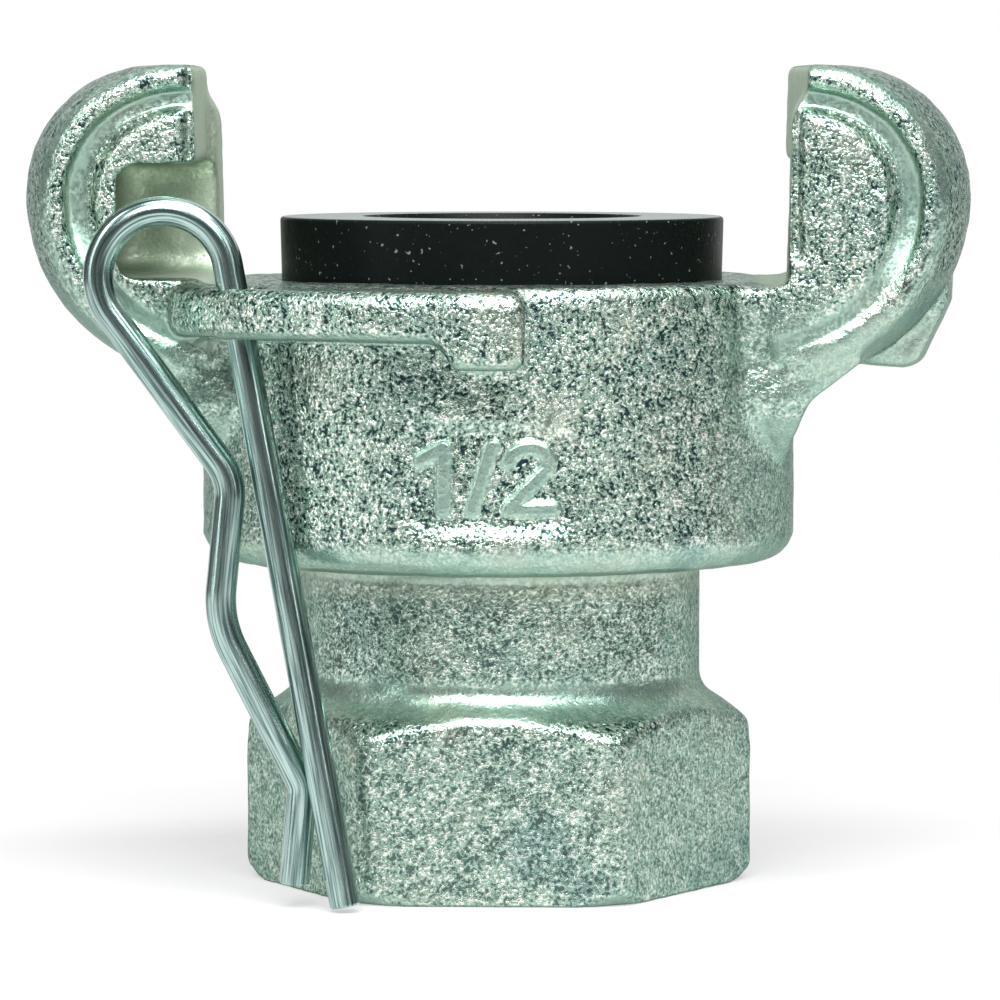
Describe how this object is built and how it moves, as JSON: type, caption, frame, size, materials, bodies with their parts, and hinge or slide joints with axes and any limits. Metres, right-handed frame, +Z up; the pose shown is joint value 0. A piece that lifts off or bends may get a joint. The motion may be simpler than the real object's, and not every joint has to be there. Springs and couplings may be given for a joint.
{
  "type": "female pipe-thread end for a twist-claw air hose coupling",
  "caption": "Cast coupling half with a hexagon pipe-thread socket, locking claws, rubber sealing washer and a bent-wire safety clip hanging in its front ledge.",
  "frame": {"origin": "middle of the box on the hexagon's end face, where the bore's axis meets the floor", "axes": "+Z up along the bore towards the washer, +X towards the claw with the closed wall at the front, -Y towards the ledge that holds the clip"},
  "size_m": [0.0702, 0.0568, 0.0607],
  "materials": {
    "zinc_plated_casting": "sand-cast malleable iron, zinc plated with a pale blue-green passivation",
    "nitrile_rubber": "matt moulded black rubber",
    "zinc_plated_wire": "drawn spring wire, bright zinc plated"
  },
  "bodies": {
    "coupling": {"coupling_body": "zinc_plated_casting", "sealing_washer": "nitrile_rubber"},
    "clip": {"safety_clip": "zinc_plated_wire"}
  },
  "joints": [
    {"name": "clip_swivel", "type": "hinge", "parent": "coupling", "child": "clip", "pos_m": [-0.0182, -0.01714, 0.0429], "axis": [-0.1822, 0.0481, 0.9821], "range_deg": [0, 95]}
  ]
}
